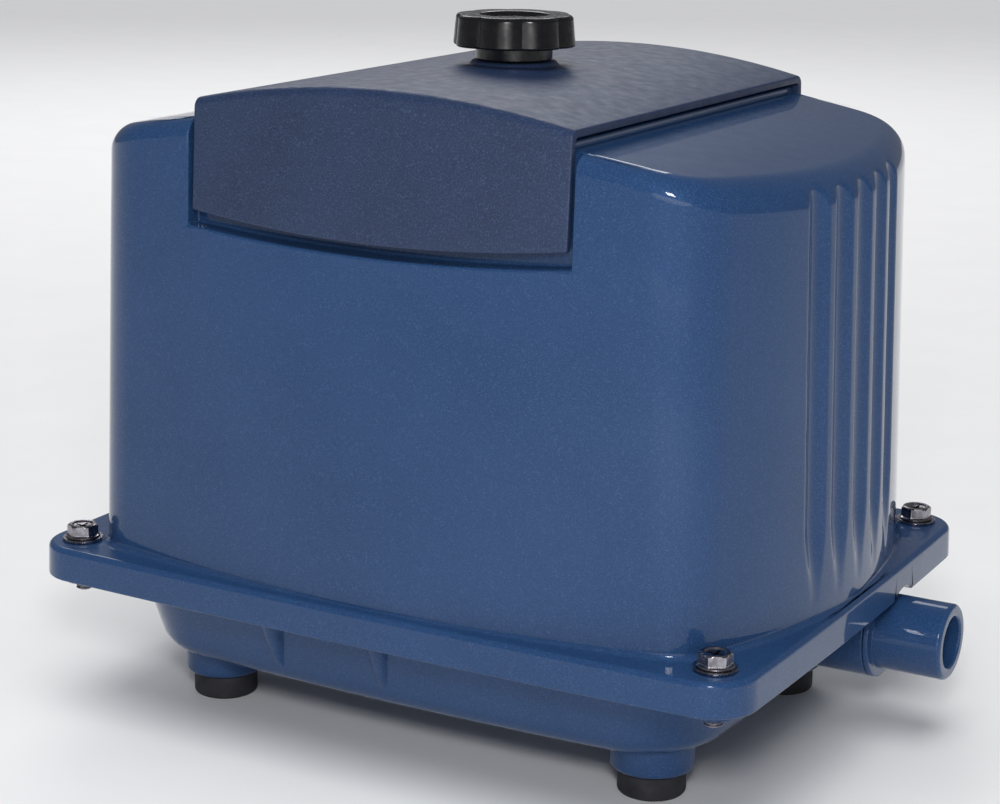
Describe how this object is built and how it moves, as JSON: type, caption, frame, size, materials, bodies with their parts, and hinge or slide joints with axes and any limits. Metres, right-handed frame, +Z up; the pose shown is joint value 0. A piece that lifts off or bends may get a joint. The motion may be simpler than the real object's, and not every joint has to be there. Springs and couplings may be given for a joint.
{
  "type": "air pump",
  "caption": "Linear diaphragm air pump: fluted blue cast hood on a bolted base tub with rubber feet, a curved filter cover held by a star knob, and a side air outlet.",
  "frame": {"origin": "centre of the bounding box's base, on the surface the rubber feet stand on", "axes": "+X towards the air outlet, along the hood's length and the drive rod; +Y towards the back; +Z up"},
  "size_m": [0.2468, 0.1756, 0.2068],
  "materials": {
    "blue_paint": "gloss enamel with a fine metallic fleck",
    "cover_plastic": "moulded, finely textured",
    "knob_plastic": "polished moulding",
    "plated_steel": "bright plated",
    "foot_rubber": "moulded",
    "gasket_rubber": "moulded",
    "diaphragm_rubber": "moulded",
    "hose_rubber": "smooth",
    "filter_foam": "open-cell foam",
    "cast_alloy": "as cast",
    "core_steel": "varnished laminations",
    "coil_copper": "enamelled copper wire",
    "magnet_ferrite": "sintered",
    "insulator": "moulded nylon"
  },
  "bodies": {
    "housing": {"hood": "blue_paint", "base": "blue_paint", "outlet_nozzle": "blue_paint", "housing_gasket": "gasket_rubber", "filter_element": "filter_foam", "cable_grommet": "gasket_rubber", "flange_bolt_front_left": "plated_steel", "flange_bolt_front_right": "plated_steel", "flange_bolt_rear_right": "plated_steel", "flange_bolt_rear_left": "plated_steel", "bolt_washer_front_left": "plated_steel", "bolt_washer_front_right": "plated_steel", "bolt_washer_rear_right": "plated_steel", "bolt_washer_rear_left": "plated_steel", "rubber_foot_front_left": "foot_rubber", "rubber_foot_front_right": "foot_rubber", "rubber_foot_rear_right": "foot_rubber", "rubber_foot_rear_left": "foot_rubber", "foot_screw_front_left": "plated_steel", "foot_screw_front_right": "plated_steel", "foot_screw_rear_right": "plated_steel", "foot_screw_rear_left": "plated_steel", "tank_lid": "cast_alloy", "rubber_damper_front_left": "gasket_rubber", "rubber_damper_front_right": "gasket_rubber", "rubber_damper_rear_right": "gasket_rubber", "rubber_damper_rear_left": "gasket_rubber", "pump_frame": "cast_alloy", "terminal_block": "insulator", "safety_switch": "insulator", "core_front": "core_steel", "bobbin_front": "insulator", "coil_front": "coil_copper", "core_rear": "core_steel", "bobbin_rear": "insulator", "coil_rear": "coil_copper", "diaphragm_left": "diaphragm_rubber", "pump_head_left": "cast_alloy", "head_cover_left": "cast_alloy", "air_hose_left": "hose_rubber", "diaphragm_right": "diaphragm_rubber", "pump_head_right": "cast_alloy", "head_cover_right": "cast_alloy", "air_hose_right": "hose_rubber"},
    "cover": {"filter_cover": "cover_plastic", "knob_seal": "gasket_rubber"},
    "knob": {"cover_knob": "knob_plastic", "knob_stud": "plated_steel"},
    "armature": {"drive_rod": "cast_alloy", "magnet_left": "magnet_ferrite", "magnet_right": "magnet_ferrite", "diaphragm_plate_left": "cast_alloy", "diaphragm_plate_right": "cast_alloy", "rod_nut_left": "plated_steel", "rod_nut_right": "plated_steel"},
    "intake_valve_left": {"intake_flap_left": "diaphragm_rubber"},
    "intake_valve_right": {"intake_flap_right": "diaphragm_rubber"},
    "delivery_valve_left": {"delivery_flap_left": "diaphragm_rubber"},
    "delivery_valve_right": {"delivery_flap_right": "diaphragm_rubber"}
  },
  "joints": [
    {"name": "cover_lift", "type": "slide", "parent": "housing", "child": "cover", "axis": [0, 0, 1], "range_m": [0, 0.06]},
    {"name": "knob_turn", "type": "hinge", "parent": "cover", "child": "knob", "pos_m": [-0.00765, 0, 0.2], "axis": [0, 0, 1], "continuous": true},
    {"name": "armature_slide", "type": "slide", "parent": "housing", "child": "armature", "axis": [1, 0, 0], "range_m": [-0.0015, 0.0015], "stiffness_N_per_m": 3000, "deforming": ["diaphragm_left", "diaphragm_right"]},
    {"name": "intake_valve_left_hinge", "type": "hinge", "parent": "housing", "child": "intake_valve_left", "pos_m": [-0.08585, 0, 0.122], "axis": [0, -1, 0], "range_deg": [0, 12], "stiffness_Nm_per_rad": 0.0001},
    {"name": "delivery_valve_left_hinge", "type": "hinge", "parent": "housing", "child": "delivery_valve_left", "pos_m": [-0.09195, 0, 0.09], "axis": [0, 1, 0], "range_deg": [0, 12], "stiffness_Nm_per_rad": 0.0001},
    {"name": "intake_valve_right_hinge", "type": "hinge", "parent": "housing", "child": "intake_valve_right", "pos_m": [0.07055, 0, 0.122], "axis": [0, 1, 0], "range_deg": [0, 12], "stiffness_Nm_per_rad": 0.0001},
    {"name": "delivery_valve_right_hinge", "type": "hinge", "parent": "housing", "child": "delivery_valve_right", "pos_m": [0.07665, 0, 0.09], "axis": [0, -1, 0], "range_deg": [0, 12], "stiffness_Nm_per_rad": 0.0001}
  ]
}
